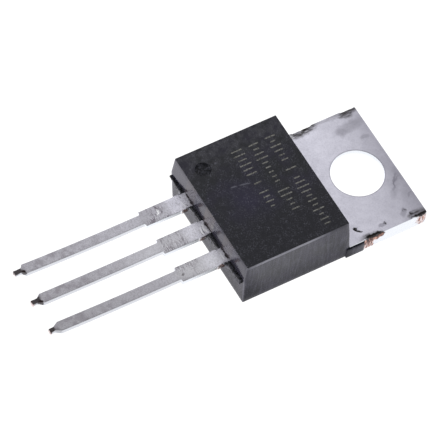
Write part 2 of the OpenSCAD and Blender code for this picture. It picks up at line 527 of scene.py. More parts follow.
def new_object(name: str, data: bpy.types.ID) -> bpy.types.Object:
    """Puts a mesh, a light or a camera in the scene as an object at the origin.

    Args:
        name: The object's name.
        data: The mesh, the light or the camera.

    Returns:
        The new object.
    """
    obj = bpy.data.objects.new(name, data)
    bpy.context.scene.collection.objects.link(obj)
    return obj


def skin(name: str, rings: Sequence[Sequence[Sequence[float]]]) -> bpy.types.Object:
    """Joins closed rings of points, all of one count, into a solid with capped ends.

    Args:
        name: The new object's name.
        rings: The rings in order, in millimetres.

    Returns:
        The new object, with its faces pointing outwards.
    """
    bm = bmesh.new()
    made = [[bm.verts.new(metres(point)) for point in ring] for ring in rings]
    count = len(made[0])
    for low, high in zip(made, made[1:]):
        for i in range(count):
            j = (i + 1) % count
            bm.faces.new((low[i], low[j], high[j], high[i]))
    bm.faces.new(list(reversed(made[0])))
    bm.faces.new(made[-1])
    bmesh.ops.recalc_face_normals(bm, faces=bm.faces)
    mesh = bpy.data.meshes.new(name)
    bm.to_mesh(mesh)
    bm.free()
    return new_object(name, mesh)


def lathe(name: str, centre: Point2, profile: Sequence[Point2],
          count: int = 96) -> bpy.types.Object:
    """Turns a profile about a vertical line into a solid.

    Args:
        name: The new object's name.
        centre: The line's x and y.
        profile: Points of (radius, height), from the lower end to the upper one.
        count: How many sides it has.

    Returns:
        The new object.
    """
    turns = [2 * math.pi * i / count for i in range(count)]
    return skin(name, [[(centre[0] + r * math.cos(a), centre[1] + r * math.sin(a), z)
                        for a in turns] for r, z in profile])


def block(name: str, low: Point3, high: Point3) -> bpy.types.Object:
    """Makes a plain box between two corners, to cut or clip another piece with."""
    plan = [(low[0], low[1]), (high[0], low[1]), (high[0], high[1]), (low[0], high[1])]
    return skin(name, [[(x, y, z) for x, y in plan] for z in (low[2], high[2])])


def on_side(sign: int, low: Point3, high: Point3) -> Box:
    """Gives the corners of a box on the right, or of its mirror image where sign is -1."""
    left, right = sorted((sign * low[0], sign * high[0]))
    return (left, *low[1:]), (right, *high[1:])


def copy_of_node(node: str) -> bpy.types.Object:
    """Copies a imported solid's mesh into a new object with its doubled corners merged.

    Args:
        node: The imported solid's name.

    Returns:
        The new object.
    """
    bm = bmesh.new()
    bm.from_mesh(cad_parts[node].data)
    bmesh.ops.remove_doubles(bm, verts=bm.verts, dist=1e-7)
    mesh = bpy.data.meshes.new(node + "_copy")
    bm.to_mesh(mesh)
    bm.free()
    return new_object(node + "_copy", mesh)


def settle(obj: bpy.types.Object) -> bpy.types.Object:
    """Turns an object's modifiers into plain mesh and removes them.

    Args:
        obj: The object.

    Returns:
        The same object.
    """
    graph = bpy.context.evaluated_depsgraph_get()
    mesh = bpy.data.meshes.new_from_object(obj.evaluated_get(graph))
    obj.modifiers.clear()
    old, obj.data = obj.data, mesh
    bpy.data.meshes.remove(old)
    return obj


class Cut(Enum):
    """What a second solid does to the first."""

    ADD = "UNION"
    TAKE = "DIFFERENCE"
    CLIP = "INTERSECT"


def combine(obj: bpy.types.Object, how: Cut, *others: bpy.types.Object) -> bpy.types.Object:
    """Adds other solids to one, takes them from it or clips it to them.

    Args:
        obj: The solid that changes.
        how: What the others do to it.
        others: The solids that are used up.

    Returns:
        The changed object.
    """
    for other in others:
        modifier = obj.modifiers.new("combine", "BOOLEAN")
        modifier.object, modifier.operation, modifier.solver = other, how.value, "EXACT"
        settle(obj)
        bpy.data.objects.remove(other)
    return obj


def even_normals(obj: bpy.types.Object, angle: float = 40.0,
                 flat: Callable[[bpy.types.MeshPolygon], bool] | None = None) -> bpy.types.Object:
    """Shades a piece so that flat faces stay flat and rounded edges look round.

    Args:
        obj: The piece.
        angle: Edges sharper than this many degrees stay sharp.
        flat: Tells which faces are shaded one by one.

    Returns:
        The same piece.
    """
    obj.data.shade_smooth()
    obj.data.set_sharp_from_angle(angle=math.radians(angle))
    for face in obj.data.polygons:
        face.use_smooth = not (flat and flat(face))
    modifier = obj.modifiers.new("even", "WEIGHTED_NORMAL")
    modifier.mode, modifier.weight, modifier.keep_sharp = "FACE_AREA", 100, True
    return settle(obj)


def dress(obj: bpy.types.Object, slot: str, *materials: bpy.types.Material) -> bpy.types.Object:
    """Gives a piece its materials and its place on the body, and logs its slot in the record.

    Args:
        obj: The piece.
        slot: The record's material slot.
        materials: The materials, in the order of the mesh's material numbers.

    Returns:
        The same piece.
    """
    obj.data.materials.clear()
    for material in materials:
        obj.data.materials.append(material)
    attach(obj, BODY)
    log.info("%s: %d faces, slot %s", obj.name, len(obj.data.polygons), slot)
    return obj


def rounded_plan(low: Point2, high: Point2, radius: float, parts: tuple[int, int],
                 steps: int = 3) -> list[Point2]:
    """Walks round a rectangle with rounded corners, anticlockwise.

    Args:
        low: The smallest x and y.
        high: The largest x and y.
        radius: The corners' radius.
        parts: How many pieces the sides along x and along y are cut into.
        steps: How many chords a corner has.

    Returns:
        The points, whose count depends on parts and steps alone.
    """
    arcs = []
    for cx, cy, start in ((high[0] - radius, low[1] + radius, -90),
                          (high[0] - radius, high[1] - radius, 0),
                          (low[0] + radius, high[1] - radius, 90),
                          (low[0] + radius, low[1] + radius, 180)):
        turns = [math.radians(start + 90 * k / steps) for k in range(steps + 1)]
        arcs.append([(cx + radius * math.cos(a), cy + radius * math.sin(a)) for a in turns])
    points: list[Point2] = []
    for number, (here, after) in enumerate(zip(arcs, arcs[1:] + arcs[:1])):
        points += here
        a, b, count = here[-1], after[0], parts[1 - number % 2]
        points += [(a[0] + (b[0] - a[0]) * k / count, a[1] + (b[1] - a[1]) * k / count)
                   for k in range(1, count)]
    return points


def edge_levels(low: float, high: float, radii: Point2, middle: Sequence[float],
                steps: int = 3) -> list[Point2]:
    """Gives the heights of the rings of a block with rounded edges.

    Args:
        low: The lower face's height.
        high: The upper face's height.
        radii: The radius of the lower and of the upper edge.
        middle: Heights between them that have rings too.
        steps: How many chords an edge has.

    Returns:
        The height of each ring and how far it lies inside the wall.
    """
    turns = [math.radians(90 * k / steps) for k in range(steps + 1)]
    lower = [(low + radii[0] * (1 - math.cos(a)), radii[0] * (1 - math.sin(a))) for a in turns]
    upper = [(high - radii[1] * (1 - math.cos(a)), radii[1] * (1 - math.sin(a))) for a in turns]
    return lower + [(z, 0.0) for z in middle] + upper[::-1]


def spread(low: float, high: float, count: int) -> list[float]:
    """Gives count numbers between low and high, evenly spaced and without the ends."""
    return [low + (high - low) * (k + 1) / (count + 1) for k in range(count)]


# ---------------------------------------------------------------------------
# Finishes
# ---------------------------------------------------------------------------

class Mark(Enum):
    """What a mark is."""

    TARNISH = "tarnish"
    SOOT = "soot"
    # Dark spots and lines on the leads; on the roots' right walls partly painted shade
    SCORCH = "scorch"
    COPPER = "copper"
    # On the tin, pale marks that are mostly painted highlights
    SHINE = "shine"
    SMEAR = "smear"


@dataclass(frozen=True)
class Blemish:
    """A soft-edged oval mark: where it is, how large, how turned and how strong."""

    kind: Mark
    centre: Point3
    radii: Point3
    turn: float = 0.0
    strength: float = 1.0
    softness: float = 0.6

    def mask(self, graph: Graph, place: Socket) -> Socket:
        """Adds the nodes of the mark's mask.

        Args:
            graph: The material's tree.
            place: The place in millimetres, already shaken by noise.

        Returns:
            A value from 0 outside the mark to its strength inside.
        """
        local = graph.add("ShaderNodeMapping",
                          {"Vector": place, "Location": self.centre,
                           "Rotation": (0, 0, math.radians(self.turn)), "Scale": self.radii},
                          vector_type="TEXTURE")
        ball = graph.add("ShaderNodeTexGradient", local, output="Fac", gradient_type="SPHERICAL")
        return graph.add(RAMP, ball, 0.0, self.softness, 0.0, self.strength)


@dataclass(frozen=True)
class FilledEpoxy:
    """Epoxy moulding compound full of ground silica, as it leaves a spark-eroded mould."""

    # The filler makes the black resin a dull charcoal, with a fine glitter of silica grains.
    # The mould's smoother walls leave the sides more glossy than the front, which is dustier to
    # the left and cleaner to the right, with a faint violet cloudiness
    resin: str = "#0e1018"
    cloudy: str = "#151324"
    violet: str = "#1c1833"
    dusty: str = "#303036"
    clean: str = "#050613"
    silica: str = "#5a5a66"
    # Painted reflection of the leads on the end wall
    reflected_lead_brown: str = "#4a4243"
    # Painted light: the upper end wall is made paler and lavender
    lavender: str = "#312f3a"
    flecked: str = "#615c5f"
    # Painted highlights on the edges
    painted_highlight: str = "#7e7e86"
    grain_size: float = 0.09
    glitter: float = 0.6
    drag_lines: float = 0.34
    flecks: float = 0.6
    front_roughness: float = 0.5
    wall_roughness: float = 0.15
    ior: float = 1.43
    gloss: float = 0.45
    name: str = "filled_epoxy"
    scuffs: tuple[Blemish, ...] = ()
    cloud: Blemish = Blemish(Mark.SMEAR, (0.2, -9.1, FRONT_Z), (3.0, 2.6, 1.0), 0.0, 0.8, 1.0)
    upper_end: Zone = Zone(y=((-11.9, -12.05),), z=((3.04, 3.1),))
    lower_end: Zone = Zone(y=((-11.9, -12.0),), z=((2.7, 2.6),))
    # Painted reflection of each lead, brownish, on the end wall above it
    lead_reflections: tuple[Zone, ...] = tuple(
        Zone(x=((x - 0.7, x - 0.55), (x + 0.7, x + 0.55)), amount=share)
        for x, share in ((-PITCH, 0.5), (0.0, 0.95), (PITCH, 0.55)))
    # Painted highlight on the strip of wall under the front's right edge
    edge_highlight: Zone = Zone(x=((4.9, 5.0),), y=((-12.8, -10.6), (-5.0, -7.2)),
                           z=((4.24, 4.30), (4.56, 4.50)))

    def material(self) -> bpy.types.Material:
        """Builds the material.

        Returns:
            The material.
        """
        p = Painter(self.name)
        front = p.add(RAMP, p.z, FRONT_Z - 0.06, FRONT_Z - 0.02)
        walls = p.add(MINUS, 1.0, front)
        patchy = p.flecks(0.5, 0.34, 0.66, 0.1, detail=5.0)
        glitter = p.flecks(self.grain_size, 0.46, 0.76, 0.0, self.glitter)
        # Lines that the mould's walls drag down the sides as the part is pushed out
        drag = p.grain(0.14, 4.0, (1, 1, 12))
        lines = p.add(RAMP, drag, 0.4, 0.7, 0.0, self.drag_lines)
        # The upper end wall, painted paler and lavender as painted light
        end = p.add(TIMES, p.zone(self.upper_end), walls)
        # Painted reflection of each lead on the end wall above it
        lead_reflections = p.add(TIMES, p.add(PLUS, *(p.zone(zone) for zone in self.lead_reflections)),
                     p.flecks(0.3, 0.3, 0.65, 0.6, detail=3.0), end)
        flecks = p.flecks(0.12, 0.45, 0.7, 0.0, self.flecks, detail=3.0)
        painted_highlight = p.add(TIMES, p.zone(self.edge_highlight), p.flecks(0.35, 0.25, 0.6, 0.72))
        shaken = p.shaken(0.2, 0.06, p.place)
        colour = p.coats(
            self.resin,
            (p.flecks(1.6, 0.42, 0.62, detail=3.0), self.cloudy),
            (self.cloud.mask(p, p.shaken(1.5, 0.8, p.place)), self.violet),
            (p.add(TIMES, p.add(RAMP, p.x, -1.8, -4.6), patchy, front), self.dusty),
            (p.add(TIMES, p.add(RAMP, p.x, 0.2, 3.4), front), self.clean),
            (p.add(TIMES, glitter, patchy), self.silica),
            (p.add(TIMES, lines, walls), self.silica),
            (end, self.lavender),
            (lead_reflections, self.reflected_lead_brown),
            (p.add(TIMES, flecks, p.zone(self.lower_end)), self.flecked),
            *((scuff.mask(p, shaken), self.silica) for scuff in self.scuffs),
            (painted_highlight, self.painted_highlight),
            (self.corner_highlight(p), self.painted_highlight))
        rough = p.add(PLUS, p.add(RAMP, drag, 0.3, 0.7, -0.05, 0.05),
                      p.add(RAMP, front, 0.0, 1.0, self.wall_roughness, self.front_roughness))
        lumps = p.add(TIMES, p.grain(self.grain_size, 3.0), p.add(RAMP, front, 0.0, 1.0, 0.3, 1.0))
        normal = p.add(BUMP, drag, 0.005 * MM, p.add(BUMP, lumps, 0.013 * MM))
        return p.finish(colour, rough, normal, IOR=self.ior, Specular_IOR_Level=self.gloss)

    def corner_highlight(self, p: Painter) -> Socket:
        """Gives the painted highlight on the upright corners at the lead end.

        Args:
            p: The material under way.

        Returns:
            The share that is painted pale.
        """
        turning = p.add("ShaderNodeMath", p.add(TIMES, p.sidewards, p.endwards),
                        operation="ABSOLUTE")
        return p.add(TIMES, p.add(RAMP, turning, 0.05, 0.25), p.add(RAMP, p.y, -11.5, -11.8),
                     p.add(RAMP, p.z, 2.6, 3.2, 0.8, 0.3))


@dataclass(frozen=True)
class LaserMark:
    """Epoxy whose skin a laser burnt off, which leaves pale grey bare filler."""

    # Bare filler scatters light, so the thin lines look dusty and matt beside the resin
    burnt: str = "#787773"
    deep: str = "#3f3e3b"
    roughness: float = 0.8
    ior: float = 1.5

    def material(self) -> bpy.types.Material:
        """Builds the material.

        Returns:
            The material.
        """
        p = Painter("laser_marked_epoxy")
        colour = p.coats(self.deep, (p.flecks(0.12, 0.35, 0.6), self.burnt))
        normal = p.add(BUMP, p.grain(0.05), 0.003 * MM)
        return p.finish(colour, self.roughness, normal, IOR=self.ior)


@dataclass(frozen=True)
class MatteTin:
    """Copper strip with matte electroplated tin, sheared after plating."""

    # The tin is a soft pale grey with a lavender cast. Its upper skin is painted duller along the
    # part and across it, most at the tab's end and towards the tips, as painted shade where less
    # light falls on it, and the shears dragged oxide and copper over it
    tin: str = "#ecebf8"
    dull_and_shaded_tin: str = "#888692"
    grey_tin: str = "#8c8a8c"
    purple_tin: str = "#7f7882"
    soot: str = "#2b2827"
    # Dark marks on the leads, partly painted shade on the roots' right walls
    scorch: str = "#2d2626"
    smear: str = "#454344"
    copper: str = "#6b3f2e"
    oxide: str = "#38211f"
    pale_copper: str = "#b98a74"
    pink_copper: str = "#f0e0da"
    # Painted highlights, and the hole's near-white wall, partly painted reflection
    shine: str = "#fbfcff"
    cut_wall: str = "#dce0e1"
    crystal_size: float = 0.11
    roughness: float = 0.42
    wall_roughness: float = 0.2
    hole_radius: float = 1.98
    # How much painted shade dims the upper skin at places along the part, as (y, share)
    painted_dimming: tuple[Point2, ...] = (
        (-25.9, 0.63), (-22.0, 0.58), (-16.3, 0.44), (-15.9, 0.58), (-14.2, 0.48), (-13.6, 0.14),
        (-12.2, 0.08), (-4.0, 0.06), (-1.0, 0.18), (1.0, 0.34), (2.0, 0.55), (2.7, 0.66))
    tab_skin: Zone = Zone(y=((-4.0, -3.9),), z=((1.18, 1.25),))
    lead_skin: Zone = Zone(z=((2.9, 2.97),))
    pressed: Zone = Zone(y=((-16.05, -15.7), (-13.85, -14.2)))
    blemishes: tuple[Blemish, ...] = ()

    def material(self) -> bpy.types.Material:
        """Builds the material.

        Returns:
            The material.
        """
        p = Painter("matte_tin_plate")
        masks = self.masks(p)
        upper = p.add(TIMES, p.add(PLUS, p.zone(self.tab_skin), p.zone(self.lead_skin),
                                   use_clamp=True), p.add(RAMP, p.upwards, 0.45, 0.75))
        back = p.add(RAMP, p.upwards, -0.45, -0.75)
        wall = p.add(MINUS, 1.0, upper)
        on_leads = p.add(RAMP, p.y, -11.0, -12.0)
        # Duller tin, greyer on the leads: it serves the grain, random patches and the rim, and
        # also the painted shade of the upper skin
        dull = p.coats(self.dull_and_shaded_tin, (on_leads, self.grey_tin))
        # The punch burnished the hole's wall, which is painted near white, partly as a painted
        # reflection of the bright table, and left a thin dull line round its upper rim
        out, radius = p.add(LENGTH, p.add(STRETCH, p.place, (1, 1, 0))), self.hole_radius
        rim = p.add(TIMES, p.add(RAMP, out, radius - 0.02, radius + 0.05, 0.5, 0.0), upper)
        punched = p.add(TIMES, p.add(RAMP, out, radius - 0.04, radius, 1.0, 0.0),
                        p.add(RAMP, p.upwards, 0.4, 0.7, 1.0, 0.0), p.add(RAMP, p.z, 1.15, 0.35))
        # Heat clouded the slim ends with violet-grey patches, and they show the grain most
        clouds = p.add(TIMES, p.flecks(0.55, 0.42, 0.62, detail=4.0),
                       p.add(RAMP, p.y, -17.0, -23.5, 0.1, 0.45), upper, on_leads)
        crystal = p.grain(self.crystal_size, 3.0)
        dark_grain = p.add(TIMES, p.add(RAMP, crystal, 0.32, 0.6, 1.0, 0.0),
                           p.add(RAMP, on_leads, 0.0, 1.0, 0.14, 0.36))
        # A press left crosswise marks on the leads' broad parts
        press = p.add(TIMES, p.flecks(0.12, 0.42, 0.62, detail=3.0, stretch=(3.5, 1, 3)),
                      p.flecks(0.6, 0.35, 0.6), p.zone(self.pressed),
                      p.add(RAMP, p.x, 3.0, 2.0, 0.5, 1.0), upper)
        # The back keeps stains from the plating bath and fine lines from the rolls
        stained = p.add(PLUS, p.flecks(0.07, 0.4, 0.7, 0.0, 0.2, 3.0, (1, 14, 1)),
                        p.flecks(3.2, 0.42, 0.72, 0.1, 0.4, 4.0), use_clamp=True)
        brushed = p.flecks(0.12, 0.3, 0.62, 0.35, 1.0, 4.0, (1, 5, 1))
        colour = p.coats(
            self.tin,
            (self.painted_sheen_falloff(p, upper), dull),
            (p.flecks(0.8, 0.3, 0.7, 0.0, 0.1, 4.0), dull),
            (rim, dull),
            (clouds, self.purple_tin),
            (dark_grain, dull),
            (p.add(TIMES, press, 0.9), self.purple_tin),
            (wall, self.cut_wall),
            (p.add(TIMES, wall, p.add(RAMP, p.y, -15.9, -16.0, 0.0, 0.34)), self.grey_tin),
            (punched, self.shine),
            (p.add(TIMES, back, stained), self.dull_and_shaded_tin),
            # Painted highlights
            (masks[Mark.SHINE], self.shine),
            (p.add(TIMES, masks[Mark.TARNISH], upper), self.dull_and_shaded_tin),
            (p.add(TIMES, masks[Mark.SMEAR], brushed, upper), self.smear),
            (masks[Mark.COPPER], self.torn_copper(p, on_leads)),
            (masks[Mark.SOOT], self.soot),
            (masks[Mark.SCORCH], self.scorch))
        rough = p.add(RAMP, p.add(PLUS, upper, back, use_clamp=True), 0.0, 1.0,
                      self.wall_roughness, self.roughness)
        rough = p.add(PLUS, rough, p.flecks(0.5, 0.3, 0.7, -0.05, 0.05, 3.0),
                      p.add(TIMES, masks[Mark.SOOT], 0.3))
        normal = p.add(BUMP, p.add(TIMES, crystal, p.add(RAMP, on_leads, 0.0, 1.0, 0.6, 1.0)),
                       0.009 * MM)
        normal = p.add(BUMP, p.grain(0.3, 3.0), 0.004 * MM, normal)
        normal = p.add(BUMP, press, 0.012 * MM, normal)
        return p.finish(colour, rough, normal, Metallic=1.0)

    def masks(self, p: Painter) -> dict[Mark, Socket]:
        """Gives the mask of each kind of mark, soot's and copper's with broken rims.

        Args:
            p: The material under way.

        Returns:
            The mask of each kind.
        """
        shaken = p.shaken(0.09, 0.05, p.shaken(0.45, 0.2, p.place))
        found = {}
        for kind in Mark:
            mask = p.add(PLUS, 0.0, 0.0, *(blemish.mask(p, shaken) for blemish in self.blemishes
                                           if blemish.kind is kind), use_clamp=True)
            if kind in (Mark.SOOT, Mark.COPPER):
                flakes = p.flecks(0.13, 0.25, 0.75, -0.35, 0.25, 4.0, (1.6, 1, 1))
                mask = p.add(TIMES, p.add(RAMP, p.add(PLUS, mask, flakes), 0.05, 0.9),
                             p.add(RAMP, mask, 0.0, 0.1))
            found[kind] = mask
        return found

    def painted_sheen_falloff(self, p: Painter, upper: Socket) -> Socket:
        """Gives how much painted shade dims the upper skin, along the part and across it.

        Args:
            p: The material under way.
            upper: The mask of the upper skin.

        Returns:
            The share of painted shade.
        """
        low, high = self.painted_dimming[0][0], self.painted_dimming[-1][0]
        curve = p.add("ShaderNodeFloatCurve", {"Value": p.add(LINE, p.y, low, high)})
        mapping = curve.node.mapping
        points = mapping.curves[0].points
        for number, (y, share) in enumerate(self.painted_dimming):
            at = ((y - low) / (high - low), share)
            if number in (0, len(self.painted_dimming) - 1):
                points[-1 if number else 0].location = at
            else:
                points.new(*at).handle_type = "VECTOR"
        mapping.update()
        across = p.add(RAMP, p.x, -5.0, 5.0, -0.06, 0.12)
        return p.add(TIMES, p.add(PLUS, curve, across), upper, use_clamp=True)

    def torn_copper(self, p: Painter, on_leads: Socket) -> Socket:
        """Gives the colour of the copper that the shears bared, streaked by the cut.

        Args:
            p: The material under way.
            on_leads: The mask of the leads.

        Returns:
            The colour.
        """
        # Paler low on the tab's walls, at its far corner and on the leads
        pale = p.add(PLUS, p.add(RAMP, p.z, 0.95, 0.3, 0.05, 0.75),
                     p.add(RAMP, p.y, 0.0, 2.0, 0.0, 0.8),
                     p.add(RAMP, on_leads, 0.0, 1.0, 0.0, 0.9), use_clamp=True)
        bright = p.flecks(0.1, 0.46, 0.56, stretch=(1, 1, 5))
        drips = p.flecks(0.12, 0.44, 0.54, detail=3.0, stretch=(1, 1, 4))
        return p.coats(
            self.copper,
            (p.flecks(0.085, 0.46, 0.56, detail=3.0, stretch=(1, 1, 3)), self.pale_copper),
            (p.add(TIMES, bright, pale), self.pink_copper),
            (p.add(TIMES, drips, p.add(RAMP, pale, 0.0, 1.0, 1.0, 0.3)), self.oxide))


@dataclass(frozen=True)
class SawnSilicon:
    """A silicon die, sawn from its wafer, with a dark blue-grey polished top."""

    # Thin glass over the circuit gives the top a blue sheen, and the sawn sides are matt grey
    silicon: str = "#5b6070"
    glass: str = "#39456b"
    roughness: float = 0.25
    cell: float = 0.25
    top: Zone = Zone(z=((1.6, 1.618),))

    def material(self) -> bpy.types.Material:
        """Builds the material.

        Returns:
            The material.
        """
        p = Painter("sawn_silicon")
        cells = p.add("ShaderNodeTexVoronoi", {"Vector": p.place, "Scale": 1 / self.cell},
                      output="Distance", feature="F1", distance="CHEBYCHEV")
        circuit = p.add(TIMES, p.zone(self.top), p.add(RAMP, cells, 0.2, 0.6))
        rough = p.flecks(0.05, 0.3, 0.7, self.roughness, self.roughness + 0.2)
        return p.finish(p.coats(self.silicon, (circuit, self.glass)), rough,
                        p.add(BUMP, p.grain(0.04), 0.002 * MM), Metallic=0.6)


@dataclass(frozen=True)
class SoftSolder:
    """Lead-rich die solder, melted between the die and the copper pad."""

    # It freezes with a dull satin skin, a little lumpy, with darker pits of flux
    solder: str = "#9a9ca0"
    pits: str = "#6b6a6a"
    roughness: float = 0.35

    def material(self) -> bpy.types.Material:
        """Builds the material.

        Returns:
            The material.
        """
        p = Painter("die_solder")
        colour = p.coats(self.solder, (p.flecks(0.15, 0.5, 0.75, detail=3.0), self.pits))
        rough = p.flecks(0.2, 0.3, 0.7, self.roughness, self.roughness + 0.15)
        return p.finish(colour, rough, p.add(BUMP, p.grain(0.1, 3.0), 0.006 * MM), Metallic=1.0)


@dataclass(frozen=True)
class DrawnAluminium:
    """Hard-drawn aluminium bonding wire."""

    # Drawing leaves fine lines along the wire, so its pale shine is streaky
    wire: str = "#dcdcde"
    lines: str = "#a9a9ad"
    roughness: float = 0.3

    def material(self) -> bpy.types.Material:
        """Builds the material.

        Returns:
            The material.
        """
        p = Painter("drawn_aluminium_wire")
        streaks = p.grain(0.03, stretch=(1, 12, 1))
        colour = p.coats(self.wire, (p.add(RAMP, streaks, 0.45, 0.7), self.lines))
        rough = p.add(RAMP, streaks, 0.3, 0.7, self.roughness, self.roughness + 0.15)
        return p.finish(colour, rough, p.add(BUMP, streaks, 0.001 * MM), Metallic=1.0)


# ---------------------------------------------------------------------------
# The moulding
# ---------------------------------------------------------------------------

@dataclass
class Moulding:
    """The epoxy body, whose walls lean in from a parting line level with the leads."""

    side: float = 5.08
    front_side: float = 5.040
    back_side: float = 4.931
    front_near_y: float = -4.005
    front_far_y: float = -12.060
    back_far_y: float = -12.0118
    edge: float = 0.045
    corner: float = 0.05
    # The side walls aren't perfectly flat
    shake: float = 0.006
    parts: tuple[int, int] = (40, 32)
    levels: Span = (0.1, 4.45, 12)
    ear_low: Point3 = (4.62, -3.80, 0.0)
    ear_high: Point3 = (5.07, -2.35, 0.95)
    ear_edges: Point2 = (0.02, 0.03)
    ear_corner: float = 0.04
    ear_parts: tuple[int, int] = (3, 8)
    ear_levels: Span = (0.05, 0.9, 3)
    dimple: Point2 = (-3.375, -10.75)
    dimple_radius: float = 0.56
    dimple_depth: float = 0.12
    inner_nodes: tuple[str, ...] = (
        "tab_and_ground_lead", "input_lead", "output_lead", "regulator_die", "die_solder",
        "bond_wire_input", "bond_wire_output", "bond_wire_sense", "bond_wire_ground")

    def walls(self, z: float) -> tuple[float, float, float]:
        """Gives where the walls stand at a height.

        Args:
            z: The height.

        Returns:
            The half width, the far y and the near y.
        """
        if z < LEAD_TOP:
            up = z / LEAD_TOP
            half = self.back_side + (self.side - self.back_side) * up
            far = self.back_far_y + (FACE_Y - self.back_far_y) * up
        else:
            up = (z - LEAD_TOP) / (FRONT_Z - LEAD_TOP)
            half = self.side + (self.front_side - self.side) * up
            far = FACE_Y + (self.front_far_y - FACE_Y) * up
        lean = max(0.0, (z - TAB_TOP) / (FRONT_Z - TAB_TOP))
        return half, far, TAB_NEAR_Y + (self.front_near_y - TAB_NEAR_Y) * lean

    def ring(self, z: float, inset: float) -> Ring:
        """Gives the ring of points round the body at a height, inset near its edges.

        Args:
            z: The height.
            inset: How far the ring lies inside the walls.

        Returns:
            The points.
        """
        half, far, near = self.walls(z)
        half, far, near = half - inset, far + inset, near - inset
        plan = rounded_plan((-half, far), (half, near), max(self.corner - inset, 0.01), self.parts)
        ring = []
        for x, y in plan:
            push = self.shake * wobble((x, y, z), 0.5)
            ring.append((x + math.copysign(push, x) if abs(x) > half - 0.01 else x, y, z))
        return ring

    def ear(self, sign: int) -> bpy.types.Object:
        """Makes the ear on one side of the tab.

        Args:
            sign: -1 for the left ear and 1 for the right one.

        Returns:
            The ear.
        """
        low, high = on_side(sign, self.ear_low, self.ear_high)
        levels = edge_levels(low[2], high[2], self.ear_edges, spread(*self.ear_levels))
        return skin("ear", [[(x, y, z) for x, y in rounded_plan(
            (low[0] + inset, low[1] + inset), (high[0] - inset, high[1] - inset),
            max(self.ear_corner - inset, 0.005), self.ear_parts)] for z, inset in levels])

    def block(self) -> bpy.types.Object:
        """Makes the solid body with its ears and without its cavities.

        Returns:
            The solid.
        """
        middle = sorted(spread(*self.levels) + [TAB_TOP, LEAD_TOP])
        levels = edge_levels(0.0, FRONT_Z, (self.edge, self.edge), middle)
        body = skin("mould_body_dressed", [self.ring(z, inset) for z, inset in levels])
        return combine(body, Cut.ADD, self.ear(-1), self.ear(1))

    def dimple_cutter(self) -> bpy.types.Object:
        """Makes the round pit that marks the first lead's corner.

        Returns:
            The cutter.
        """
        r, low = self.dimple_radius, FRONT_Z - self.dimple_depth
        return lathe("dimple_cutter", self.dimple, [
            (0.02, low - 0.012), (0.6 * r, low - 0.008), (r - 0.06, low), (r - 0.02, low + 0.02),
            (r, low + 0.06), (r + 0.012, FRONT_Z - 0.015), (r + 0.04, FRONT_Z + 0.005),
            (r + 0.04, FRONT_Z + 0.3), (0.02, FRONT_Z + 0.3)])

    def in_dimple(self, point: Vector) -> bool:
        """Tells whether a point in metres lies in the pit."""
        x, y, z = point / MM
        return z < FRONT_Z - 0.02 and math.dist((x, y), self.dimple) < self.dimple_radius

    def build(self, resin: bpy.types.Material, smooth_shaded_pit_resin: bpy.types.Material) -> bpy.types.Object:
        """Makes and dresses the moulding, with the cavities that the metal fills.

        Args:
            resin: The finish.
            smooth_shaded_pit_resin: The finish of the pit: smoother, and darker as painted shade
                in the recess.

        Returns:
            The moulding.
        """
        body = combine(self.block(), Cut.TAKE, self.dimple_cutter())
        combine(body, Cut.TAKE, *(copy_of_node(node) for node in self.inner_nodes))
        even_normals(body, 35.0)
        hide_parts("mould_body")
        dress(body, "epoxy_moulding", resin, smooth_shaded_pit_resin)
        for face in body.data.polygons:
            face.material_index = int(self.in_dimple(face.center))
        return body


